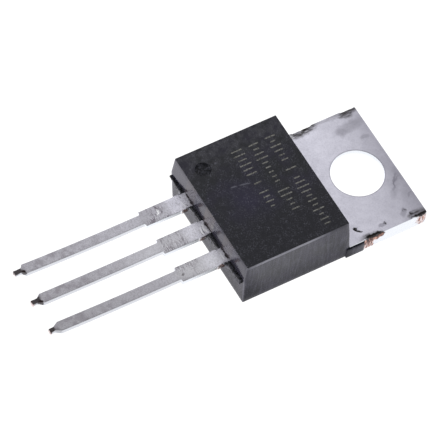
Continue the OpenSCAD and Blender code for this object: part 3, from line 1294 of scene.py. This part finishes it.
@dataclass
class FlashWeb:
    """The ragged skin of resin that squeezes out between the leads at the parting line."""

    low_z: float = 2.56
    high_z: float = 3.02
    reach: float = 0.24
    squeezed: float = 0.09
    pinched: float = -0.09
    droop: float = -0.34
    inside: float = 0.15
    tear: float = 0.16
    lump: float = 0.35
    stretches: tuple[Point2, ...] = ((-5.04, -3.15), (-1.93, -0.61), (0.61, 1.93), (3.15, 4.84))
    step: float = 0.045
    points_round: int = 24
    seed: int = 3

    def recipe(self) -> Recipe:
        """Builds the tree, which sweeps a bar along a line and tears its outer edge.

        Returns:
            The tree.
        """
        r = Recipe("flash_web", ("Step", "Reach", "Inside", "Thickness", "Tear", "Start", "End",
                                 "Squeezed", "Pinched", "Droop"))
        given = r.given
        line = r.add("GeometryNodeMeshToCurve", given["Geometry"])
        line = r.add("GeometryNodeResampleCurve", {"Curve": line, "Length": given["Step"]},
                     mode="LENGTH")
        line = r.add("GeometryNodeSetCurveNormal", line, mode="Z_UP")
        width = r.add(PLUS, given["Reach"], given["Inside"])
        bar = r.add("GeometryNodeCurvePrimitiveQuadrilateral",
                    {"Width": width, "Height": given["Thickness"]})
        bar = r.add("GeometryNodeResampleCurve", {"Curve": bar, "Count": given["Count"]},
                    mode="COUNT")
        web = r.add("GeometryNodeCurveToMesh",
                    {"Curve": line, "Profile Curve": bar, "Fill Caps": True})
        place = r.add("GeometryNodeInputPosition")
        x, y, z = r.add(SPLIT, place).node.outputs
        # How far out of the wall a point lies, from 0 at the bar's middle to 1 at its edge
        out = r.add(LINE, y, 0.0, r.add(TIMES, width, -0.5))
        lumps = r.add("ShaderNodeTexNoise",
                      {"Vector": place, "W": given["Seed"], "Scale": 1 / (self.lump * MM),
                       "Detail": 4.0}, output="Color", noise_dimensions="4D")
        torn = r.add("ShaderNodeVectorMath",
                     {0: r.add(MOVE, lumps, (0.5, 0.35, 0.5)),
                      "Scale": r.add(TIMES, out, given["Tear"])}, operation="SCALE")
        web = r.add("GeometryNodeSetPosition", {"Geometry": web, "Offset": torn})
        # More resin squeezed out beside the lead at the line's start than at its end, where
        # the web's top sinks
        wide = r.add(LINE, x, given["Start"], given["End"], given["Squeezed"], given["Pinched"])
        sunk = r.add(LINE, x, given["Start"], given["End"], 0.0, given["Droop"])
        half = r.add(TIMES, given["Thickness"], 0.5)
        high = r.add(LINE, z, r.add(TIMES, half, -1.0), half)
        moved = r.add(JOIN, 0.0, r.add(TIMES, wide, out, -1.0), r.add(TIMES, sunk, high))
        r.end(r.add("GeometryNodeSetPosition", {"Geometry": web, "Offset": moved}))
        return r

    def build(self, resin: bpy.types.Material) -> list[bpy.types.Object]:
        """Makes and dresses one strip of web for each gap beside a lead.

        Args:
            resin: The strips' finish.

        Returns:
            The strips.
        """
        recipe = self.recipe()
        strips = []
        middle_y = FACE_Y - (self.reach - self.inside) / 2
        shift = metres((0, middle_y, (self.low_z + self.high_z) / 2))
        for number, (start, end) in enumerate(self.stretches, 1):
            # The first strip's lead is at its right end, and its free end hangs a little
            left = number == 1
            near, far = (end, start) if left else (start, end)
            mesh = bpy.data.meshes.new("line")
            mesh.from_pydata([metres((start, 0, 0)), metres((end, 0, 0))], [(0, 1)], [])
            lengths = {"Step": self.step, "Reach": self.reach, "Inside": self.inside,
                       "Thickness": self.high_z - self.low_z, "Tear": self.tear,
                       "Start": near, "End": far, "Squeezed": self.squeezed,
                       "Pinched": self.pinched if left else 0.0,
                       "Droop": self.droop if left else 0.0}
            strip = new_object(f"flash_web_{number}", mesh)
            recipe.run(strip, {name: length * MM for name, length in lengths.items()} | {
                "Count": self.points_round, "Seed": self.seed + number, "Finish": resin})
            strip.data.transform(Matrix.Translation(shift))
            strips.append(dress(strip, "epoxy_moulding", resin))
        return strips


@dataclass
class LaserRows:
    """Rows of plain short strokes on the front, where such parts carry their marking."""

    # Start and end along x and middle along y of each row
    rows: tuple[Point3, ...] = ((-3.75, 4.65, -5.3), (-3.7, 2.7, -6.65), (-3.75, 1.95, -7.95))
    height: float = 0.95
    pitch: float = 0.42
    stroke: float = 0.105
    taper: float = 0.02
    sunk: float = 0.02
    proud: float = 0.004
    shortest: float = 0.35
    kept: float = 0.82
    seed: int = 11

    def recipe(self) -> Recipe:
        """Builds the tree, which sets strokes of uneven length in a row and leaves some out.

        Returns:
            The tree.
        """
        r = Recipe("laser_row", ("Start", "Pitch", "Kept", "Shortest"))
        given = r.given
        row = r.add("GeometryNodeMeshLine",
                    {"Count": given["Count"], "Start Location": r.add(JOIN, given["Start"]),
                     "Offset": r.add(JOIN, given["Pitch"])}, mode="OFFSET")
        kept = r.add("FunctionNodeRandomValue",
                     {"Probability": given["Kept"], "Seed": given["Seed"]},
                     output=3, data_type="BOOLEAN")
        length = r.add("FunctionNodeRandomValue",
                       {2: given["Shortest"], 3: 1.0, "Seed": given["Seed"]},
                       output=1, data_type="FLOAT")
        r.end(r.add("GeometryNodeInstanceOnPoints",
                    {"Points": row, "Selection": kept, "Instance": given["Geometry"],
                     "Scale": r.add(JOIN, 1.0, length, 1.0)}))
        return r

    def one_stroke(self, name: str) -> bpy.types.Object:
        """Makes a single stroke with round ends, standing across the middle of its row.

        Args:
            name: The stroke's name.

        Returns:
            The stroke.
        """
        half, r = self.height / 2, self.stroke / 2
        foot, top = (rounded_plan((inset - r, inset - half), (r - inset, half - inset),
                                  (r - inset) * 0.98, (1, 4)) for inset in (0.0, self.taper))
        return skin(name, [[(x, y, z) for x, y in plan]
                           for plan, z in ((foot, -self.sunk), (foot, 0.0), (top, self.proud))])

    def build(self, mark: bpy.types.Material) -> list[bpy.types.Object]:
        """Makes and dresses the rows.

        Args:
            mark: The finish of the laser marks.

        Returns:
            The rows.
        """
        recipe = self.recipe()
        made = []
        for number, (start, end, y) in enumerate(self.rows, 1):
            row = self.one_stroke(f"laser_row_{number}")
            recipe.run(row, {"Start": (start + self.stroke) * MM, "Pitch": self.pitch * MM,
                             "Count": int((end - start) / self.pitch), "Kept": self.kept,
                             "Shortest": self.shortest, "Seed": self.seed + number,
                             "Finish": mark})
            row.data.transform(Matrix.Translation(metres((0, y, FRONT_Z))))
            made.append(dress(row, "epoxy_moulding", mark))
        return made


# ---------------------------------------------------------------------------
# Tab and leads
# ---------------------------------------------------------------------------

@dataclass
class Lead:
    """One lead outside the body: a bar whose width steps down towards a sheared tip."""

    x: float
    shoulder: float
    seed: float
    lift: float = 0.0
    lift_from: float = 5.3
    inside: float = 0.3
    root_w: float = 1.22
    root_l: float = 0.42
    stub_w: float = 1.36
    stub_l: float = 0.55
    broad_w: float = 1.27
    broad_l: float = 3.715
    slim_w: float = 0.8
    tip_w: float = 0.32
    tip_l: float = 0.77
    length: float = 13.705
    edge: float = 0.04
    step: float = 0.09
    turn: float = 0.012
    parts: tuple[int, int] = (8, 4)
    # How far in and how rough the torn tie's stub is
    torn_in: float = 0.02
    torn_shake: float = 0.035
    # How far from the tip the shears' work starts and is full, and how they thinned and bent it
    cut_from: Point2 = (0.55, 0.1)
    cut_thin: float = 0.03
    cut_shake: float = 0.02
    # The faces aren't perfectly flat
    uneven: float = 0.003
    # The press left crosswise marks between these distances from the body
    pressed: tuple[Point2, Point2] = ((1.7, 2.1), (3.4, 3.65))
    press_depth: float = 0.004
    press_pitch: float = 0.38

    def outline(self) -> list[Point2]:
        """Gives the points where the outline bends.

        Returns:
            The distance from the body and the half width of each.
        """
        stub_end, slim_end = self.root_l + self.stub_l, self.length - self.tip_l
        turn, broad_l = self.turn, self.broad_l
        root, stub, broad, slim, tip = (width / 2 for width in (
            self.root_w, self.stub_w, self.broad_w, self.slim_w, self.tip_w))
        return [(-self.inside, root), (self.root_l - turn, root), (self.root_l + turn, stub),
                (stub_end - turn, stub), (stub_end + turn, broad), (broad_l - 3 * turn, broad),
                (broad_l - turn, broad - 0.04), (broad_l + turn, slim + 0.04),
                (broad_l + 3 * turn, slim), (slim_end, slim), (slim_end + self.shoulder, tip),
                (self.length, tip)]

    def stations(self) -> list[Point2]:
        """Gives every section, with the bends among them.

        Returns:
            The distance from the body and the half width of each.
        """
        bends = self.outline()
        found: list[Point2] = []
        for (s0, w0), (s1, w1) in zip(bends, bends[1:]):
            count = max(1, math.ceil((s1 - s0) / self.step))
            found += [(s0 + (s1 - s0) * k / count, w0 + (w1 - w0) * k / count)
                      for k in range(count)]
        return found + [bends[-1]]

    def lifted(self, s: float) -> float:
        """Gives how far the slim end is bent up at a distance from the body."""
        return self.lift * (max(0.0, s - self.lift_from) / (self.length - self.lift_from)) ** 2

    def ripple(self, s: float) -> float:
        """Gives the height of the press marks.

        Args:
            s: The distance from the body.

        Returns:
            The height, which is 0 or less.
        """
        here = rise(*self.pressed[0], s) * (1 - rise(*self.pressed[1], s))
        phase = 2 * math.pi * s / self.press_pitch + 2 * wobble((s, 0, 0), 0.6, self.seed)
        return -self.press_depth * here * (1 - math.cos(phase))

    def section(self, s: float, half: float) -> Ring:
        """Gives the ring of points of the section at a distance from the body.

        Args:
            s: The distance along the lead from the body's face.
            half: The half width there.

        Returns:
            The points, bent up with the lead.
        """
        stub_end = self.root_l + self.stub_l
        torn = rise(self.root_l - 0.02, self.root_l + 0.03, s) * \
            (1 - rise(stub_end - 0.03, stub_end + 0.02, s))
        cut = rise(self.length - self.cut_from[0], self.length - self.cut_from[1], s)
        y = FACE_Y - s
        thin = self.cut_thin * cut
        plan = rounded_plan((-half, LEAD_LOW + thin), (half, LEAD_TOP - thin),
                            min(self.edge, 0.45 * half), self.parts)
        ring = []
        for x, z in plan:
            at = (x + self.x, y, z)
            outwards = math.copysign(abs(x) > half - 0.02, x)
            dx = (self.torn_shake * wobble(at, 0.12, self.seed) - self.torn_in) * torn * outwards
            dx += self.cut_shake * cut * wobble(at, 0.1, self.seed + 2)
            dz = self.uneven * wobble(at, 0.5, self.seed + 5)
            if z > LEAD_TOP - 0.1:
                dz += self.ripple(s) * (1 + 0.6 * wobble(at, 0.4, self.seed))
            dz -= self.cut_thin * cut * (0.5 + wobble(at, 0.15, self.seed + 3))
            ring.append((self.x + x + dx, y, min(z + dz, LEAD_TOP + 0.01) + self.lifted(s)))
        return ring

    def build(self, name: str) -> bpy.types.Object:
        """Makes the bare lead."""
        return skin(name, [self.section(s, half) for s, half in self.stations()])


@dataclass
class OuterLead:
    """An input or output lead: the bare bar, and the stretch and post inside the body."""

    lead: Lead
    node: str
    room: Box = ((-6, -12.1, 2), (6, -8, 4))

    def build(self, tin: bpy.types.Material) -> bpy.types.Object:
        """Makes and dresses the lead.

        Args:
            tin: The plating's finish.

        Returns:
            The lead.
        """
        inner = combine(copy_of_node(self.node), Cut.CLIP, block("room", *self.room))
        bar = combine(self.lead.build(self.node + "_dressed"), Cut.ADD, inner)
        even_normals(bar)
        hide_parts(self.node)
        return dress(bar, "tinned_lead", tin)


@dataclass
class Tab:
    """The tab with its hole, the pad behind the body and the middle lead, in one piece."""

    side: float = 5.02
    end_y: float = 2.700
    corner: float = 0.05
    parts: tuple[int, int] = (60, 80)
    levels: Span = (0.05, 1.2, 9)
    hole_radius: float = 1.92
    hole_flare: float = 0.018
    rebate_low: Point3 = (4.62, -3.8, -0.2)
    rebate_high: Point3 = (5.3, -2.35, 0.95)
    groove_in: float = 0.12
    groove_top: float = 1.16
    rollover: float = 0.025
    burr: float = 0.02
    # Where along each side the strip's ties were sheared off, how far in that took the wall,
    # how rough it left it, how far it leans in above and how deep its upper edge sank
    sheared: tuple[Point2, ...] = ((-2.45, -0.9), (1.5, 2.75))
    sheared_in: float = 0.03
    sheared_shake: float = 0.035
    sheared_lean: float = 0.03
    sheared_sink: float = 0.025
    room: Box = ((-4.5, -12.1, -0.5), (4.5, -3.4, 4))

    def torn(self, x: float, y: float) -> float:
        """Gives how much of the wall's roughness a point has, from 0 to 1.

        Args:
            x: The point's x.
            y: The point's y.

        Returns:
            The share.
        """
        if abs(x) < self.side - 0.08:
            return 0.0
        return max(rise(start - 0.03, start + 0.05, y) * (1 - rise(end - 0.05, end + 0.03, y))
                   for start, end in self.sheared)

    def ring(self, z: float, inset: float) -> Ring:
        """Gives the ring of points round the plate at a height, inset near its edges.

        Args:
            z: The height.
            inset: How far the ring lies inside the plate's walls.

        Returns:
            The points.
        """
        plan = rounded_plan((inset - self.side, TAB_NEAR_Y + 0.3 * inset),
                            (self.side - inset, self.end_y - inset),
                            max(self.corner - inset, 0.006), self.parts)
        ring = []
        for x, y in plan:
            tear = self.torn(x, y)
            inwards = tear * (self.sheared_in
                              + self.sheared_shake * wobble((x, y, 0.35 * z), 0.16, 4.0)
                              + self.sheared_lean * rise(0.9, 1.25, z))
            sunk = tear * self.sheared_sink * rise(1.15, 1.27, z)
            ring.append((x - math.copysign(inwards, x), y, z - sunk))
        return ring

    def plate(self) -> bpy.types.Object:
        """Makes the plate with a rolled upper edge, torn walls and a small burr below."""
        levels = edge_levels(0.0, TAB_TOP, (self.burr, self.rollover), spread(*self.levels))
        return skin("tab_and_ground_lead_dressed", [self.ring(z, inset) for z, inset in levels])

    def hole_cutter(self) -> bpy.types.Object:
        """Makes the mounting hole's cutter, flared where the punch rolled the rim.

        Returns:
            The cutter.
        """
        r, flared = self.hole_radius, self.hole_radius + self.hole_flare
        return lathe("hole_cutter", (0.0, 0.0), [
            (r, -0.5), (r, TAB_TOP - 0.03), (r + self.hole_flare / 3, TAB_TOP - 0.01),
            (flared, TAB_TOP), (flared, TAB_TOP + 0.5)], 144)

    def is_flat(self, face: bpy.types.MeshPolygon) -> bool:
        """Tells whether a face belongs to the tab's skin or to one facet of the hole's wall.

        Args:
            face: The face.

        Returns:
            Whether it is shaded on its own.
        """
        x, y, z = face.center / MM
        on_tab = y > TAB_NEAR_Y and z < TAB_TOP + 0.01
        in_hole = math.hypot(x, y) < self.hole_radius + 0.002
        return on_tab and (abs(face.normal.z) > 0.9999 or in_hole)

    def build(self, tin: bpy.types.Material, lead: Lead) -> bpy.types.Object:
        """Makes and dresses the tab.

        Args:
            tin: The plating's finish.
            lead: The middle lead, which is one piece with the tab.

        Returns:
            The tab with its lead.
        """
        tab = combine(self.plate(), Cut.TAKE, self.hole_cutter())
        low, high = self.rebate_low, self.rebate_high
        groove = ((self.side - self.groove_in, low[1], high[2] - 0.1),
                  (high[0], high[1] - 0.02, self.groove_top))
        for sign in (-1, 1):
            combine(tab, Cut.TAKE, block("rebate", *on_side(sign, low, high)),
                    block("groove", *on_side(sign, *groove)))
        inner = combine(copy_of_node("tab_and_ground_lead"), Cut.CLIP, block("room", *self.room))
        combine(tab, Cut.ADD, inner, lead.build("ground_lead"))
        even_normals(tab, flat=self.is_flat)
        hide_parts("tab_and_ground_lead")
        return dress(tab, "tinned_tab", tin)


@dataclass
class Strip:
    """The stamped and plated metal: the tab with the middle lead, and the two outer leads."""

    tab: Tab = field(default_factory=Tab)
    leads: tuple[Lead, Lead, Lead] = (
        Lead(-PITCH, 0.19, 1.0, 0.33), Lead(0.0, 0.29, 2.0, 0.16), Lead(PITCH, 0.42, 3.0, 0.22))

    def build(self, tin: bpy.types.Material) -> list[bpy.types.Object]:
        """Makes and dresses the three pieces.

        Args:
            tin: The plating's finish.

        Returns:
            The tab and the two outer leads.
        """
        first, middle, last = self.leads
        return [self.tab.build(tin, middle), OuterLead(first, "input_lead").build(tin),
                OuterLead(last, "output_lead").build(tin)]


@dataclass
class Chip:
    """The die, its solder and its bond wires, which the moulding hides."""

    die: str = "regulator_die"
    solder: str = "die_solder"
    wires: tuple[str, ...] = (
        "bond_wire_input", "bond_wire_output", "bond_wire_sense", "bond_wire_ground")

    def build(self) -> None:
        """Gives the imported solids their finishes."""
        finishes = {self.die: SawnSilicon().material(), self.solder: SoftSolder().material()}
        finishes |= dict.fromkeys(self.wires, DrawnAluminium().material())
        for name, material in finishes.items():
            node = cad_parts[name]
            node.data.materials.clear()
            node.data.materials.append(material)
            log.info("%s: %s", name, material.name)


# ---------------------------------------------------------------------------
# Marks
# ---------------------------------------------------------------------------

def at_height(z: float, *marks: tuple) -> list[Blemish]:
    """Gives marks that lie at one height.

    Args:
        z: The height.
        marks: For each its kind, its x and y and its radii, and where they aren't 0, 1 and 0.6
            its turn in degrees, its strength and its softness.

    Returns:
        The marks.
    """
    return [Blemish(kind, (*place, z), *others) for kind, place, *others in marks]


def front_scuffs() -> tuple[Blemish, ...]:
    """Gives the faint scratch and specks on the moulding's front.

    Returns:
        The marks.
    """
    shine = Mark.SHINE
    return tuple(at_height(
        FRONT_Z,
        (shine, (-1.15, -9.6), (0.08, 0.34, 0.3), -6, 0.8),
        (shine, (-1.0, -8.8), (0.08, 0.55, 0.3), -12, 0.8),
        (shine, (-3.42, -9.75), (0.1, 0.14, 0.3), 0, 0.6),
        (shine, (-2.0, -9.2), (0.08, 0.1, 0.3), 0, 0.4)))


def tab_marks() -> list[Blemish]:
    """Gives the marks on the tab: its sheared ties, smears and spots, and a painted highlight.

    Returns:
        The marks.
    """
    soot, tarnish, copper, smear = Mark.SOOT, Mark.TARNISH, Mark.COPPER, Mark.SMEAR
    upper = at_height(
        TAB_TOP,
        # Left side: the near tie and the far one, each brushed along the edge
        (smear, (-4.92, -1.5), (0.6, 1.2, 0.5), 0, 0.95, 0.5),
        (smear, (-4.72, -2.4), (0.42, 0.95, 0.5), -14, 0.75, 0.7),
        (soot, (-4.98, -1.35), (0.22, 0.6, 0.5), 0, 0.7),
        (smear, (-4.9, -0.3), (0.24, 1.0, 0.5), 0, 0.4, 0.9),
        (smear, (-4.98, 2.4), (0.46, 0.8, 0.5), 0, 0.95, 0.5),
        (smear, (-4.62, 1.75), (0.42, 0.65, 0.5), -10, 0.8, 0.6),
        (smear, (-4.9, 1.2), (0.3, 1.5, 0.5), 0, 0.45, 0.9),
        (soot, (-5.02, 2.3), (0.2, 0.75, 0.5), 0, 0.7),
        # Smears on the left half
        (tarnish, (-3.65, 1.45), (0.6, 1.55, 0.5), 5, 0.34, 0.5),
        (tarnish, (-3.45, 0.75), (0.5, 0.55, 0.5), 0, 0.22),
        (smear, (-3.75, 1.7), (0.45, 1.3, 0.5), 8, 0.12),
        (tarnish, (-2.46, 2.07), (0.24, 0.5, 0.5), -8, 0.38),
        # The rubbed streaks across the right half
        (tarnish, (2.1, 1.8), (1.5, 0.32, 0.5), -35, 0.25),
        (tarnish, (1.75, 1.95), (0.12, 0.95, 0.5), 56, 0.6),
        (tarnish, (1.7, 2.15), (0.1, 0.5, 0.5), 36, 0.5),
        (tarnish, (3.15, 2.37), (0.1, 0.4, 0.5), 30, 0.5),
        (tarnish, (1.2, 2.5), (0.8, 0.35, 0.5), 0, 0.3),
        # Right side: the far tie, a scratch, a spot and the near tie
        (smear, (4.9, 2.15), (0.55, 1.1, 0.4), -4, 0.95, 0.5),
        (soot, (5.0, 2.2), (0.32, 0.9, 0.4), -4, 0.9),
        (soot, (4.6, 1.62), (0.26, 0.2, 0.4), -30, 0.6),
        (soot, (4.1, 1.35), (0.2, 0.24, 0.4), 0, 0.4),
        (tarnish, (4.3, 1.2), (0.6, 0.24, 0.4), -30, 0.5),
        (soot, (4.46, -0.38), (0.2, 0.16, 0.4), 0, 0.75),
        (tarnish, (4.5, -0.6), (0.18, 0.45, 0.4), 0, 0.6),
        (smear, (4.94, -1.8), (0.42, 1.1, 0.3), 0, 0.75, 0.6),
        (soot, (5.0, -1.6), (0.34, 1.05, 0.3), 2, 0.95),
        (soot, (3.93, -2.55), (0.2, 0.22, 0.3), 30, 0.85),
        (soot, (4.2, -2.4), (0.42, 0.15, 0.3), 56, 0.85),
        (soot, (5.0, 2.3), (0.2, 0.5, 0.14), 0, 0.5),
        # A painted highlight along the left edge by the body
        (Mark.SHINE, (-4.85, -3.05), (0.4, 0.75, 0.4)))
    # Bare copper on the sheared walls
    return upper + [
        Blemish(copper, (5.0, -2.05, 0.45), (0.2, 0.62, 0.95), softness=0.3),
        Blemish(copper, (5.0, -1.35, 1.0), (0.2, 0.75, 0.5), softness=0.3),
        Blemish(soot, (5.0, -1.5, 1.22), (0.2, 0.85, 0.34), strength=0.9),
        Blemish(copper, (5.0, 2.35, 0.7), (0.2, 0.6, 0.9), strength=0.75, softness=0.5),
        Blemish(copper, (-5.0, -1.7, 0.55), (0.2, 0.9, 0.85), softness=0.3),
        Blemish(copper, (-5.0, 2.2, 0.6), (0.2, 0.7, 0.9), strength=0.8, softness=0.4)]


def lead_marks(leads: Sequence[Lead]) -> list[Blemish]:
    """Gives the marks on the leads: sheared stubs and tips, dark spots and painted highlights.

    Args:
        leads: The leads, whose bend the marks near the tips follow.

    Returns:
        The marks.
    """
    scorch, copper, shine = Mark.SCORCH, Mark.COPPER, Mark.SHINE
    marks = at_height(
        LEAD_TOP,
        # The shine rows are pale marks, most of them painted highlights
        (shine, (0.0, -15.5), (1.0, 5.5, 0.4), 0, 0.18, 0.8),
        (scorch, (-2.15, -12.6), (0.1, 0.12, 0.2), 0, 0.55),
        (scorch, (-2.9, -12.75), (0.1, 0.12, 0.2), 0, 0.5),
        (shine, (-2.6, -14.62), (0.24, 0.09, 0.2), 20, 0.9),
        (shine, (-2.42, -14.72), (0.1, 0.15, 0.2), 0, 0.9),
        (scorch, (2.65, -15.6), (0.1, 0.12, 0.2), 0, 0.6),
        (shine, (2.54, -14.3), (1.0, 2.6, 0.4), 0, 0.24),
        (shine, (0.1, -12.5), (0.6, 0.06, 0.2), 4, 0.9),
        (scorch, (0.2, -12.62), (0.45, 0.045, 0.2), 4, 0.7),
        (shine, (0.2, -12.74), (0.4, 0.06, 0.2), 4, 0.9),
        (scorch, (0.35, -12.86), (0.25, 0.04, 0.2), 4, 0.6),
        (shine, (2.6, -12.5), (0.6, 0.07, 0.2), 4, 0.5),
        (shine, (-2.3, -12.85), (0.4, 0.06, 0.2), 10, 0.6))
    # The root's right wall is darkened, partly as painted shade on its side away from the light,
    # with bare copper on its lower half, and the left one has both too. Each row gives kind,
    # distance to the right, y and z, radii and strength
    root = ((scorch, 0.64, -12.45, 3.01, (0.12, 0.3, 0.1), 0.85),
            (scorch, 0.68, -12.86, 3.02, (0.12, 0.2, 0.08), 0.75),
            (copper, 0.68, -12.92, 2.84, (0.12, 0.5, 0.3), 0.85),
            (scorch, 0.68, -13.14, 2.97, (0.12, 0.08, 0.1), 0.6),
            (scorch, 0.68, -12.76, 2.75, (0.12, 0.05, 0.14), 0.5),
            (copper, -0.68, -12.92, 2.85, (0.12, 0.42, 0.35), 0.7),
            (scorch, -0.68, -12.7, 2.98, (0.1, 0.14, 0.16), 0.7),
            (scorch, 0.0, -12.22, 3.07, (1.2, 0.13, 0.25), 0.95))
    # How far along a lead the darkening at its tip reaches and how strong that at its shoulder is
    for lead, (reach, strength) in zip(leads, ((0.8, 0.9), (0.8, 0.9), (0.42, 0.3))):
        x, end_y = lead.x, FACE_Y - lead.length
        top = LEAD_TOP + lead.lifted(lead.length)
        half_shoulder = 0.5 * lead.shoulder
        shoulder_y = end_y + lead.tip_l - half_shoulder
        marks += [Blemish(kind, (x + dx, y, z), radii, strength=share)
                  for kind, dx, y, z, radii, share in root]
        marks += [Blemish(scorch, (x, end_y + 0.1, top + 0.06), (0.5, reach, 0.3), 0, 0.88, 0.3),
                  Blemish(scorch, (x + 0.27, shoulder_y - 0.03, top - 0.16),
                          (0.27, half_shoulder + 0.1, 0.32), 0, strength, 0.4),
                  Blemish(copper, (x, end_y, top - 0.28), (0.7, 0.1, 0.42), 0, 1.0, 0.3)]
    return marks


# ---------------------------------------------------------------------------
# The scene
# ---------------------------------------------------------------------------


def main() -> None:
    """Builds the scene in order."""
    logging.basicConfig(level=logging.INFO, format="%(name)s: %(message)s")
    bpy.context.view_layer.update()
    Shot().place()
    Studio().build()
    resin = FilledEpoxy(scuffs=front_scuffs()).material()
    # The pit's resin is darker and less glossy: its smoother skin, and painted shade in the recess
    smooth_shaded_pit_resin = FilledEpoxy(name="smooth_epoxy_in_pit_with_painted_shade", gloss=0.2, resin="#06070e",
                             cloudy="#07070f", dusty="#08080f", glitter=0.03).material()
    Moulding().build(resin, smooth_shaded_pit_resin)
    # The flash's resin is darker and less glossy: rough torn resin, and painted shade under the
    # wall above it
    flash_resin = FilledEpoxy(name="thin_epoxy_flash_with_painted_shade", gloss=0.2, resin="#08080b",
                              cloudy="#09090c", dusty="#0c0c10", violet="#08080b",
                              lavender="#0c0c10", glitter=0.2, flecks=0.0).material()
    FlashWeb().build(flash_resin)
    LaserRows().build(LaserMark().material())
    strip = Strip()
    strip.build(MatteTin(blemishes=tuple(tab_marks() + lead_marks(strip.leads))).material())
    Chip().build()


if __name__ == "__main__":
    main()
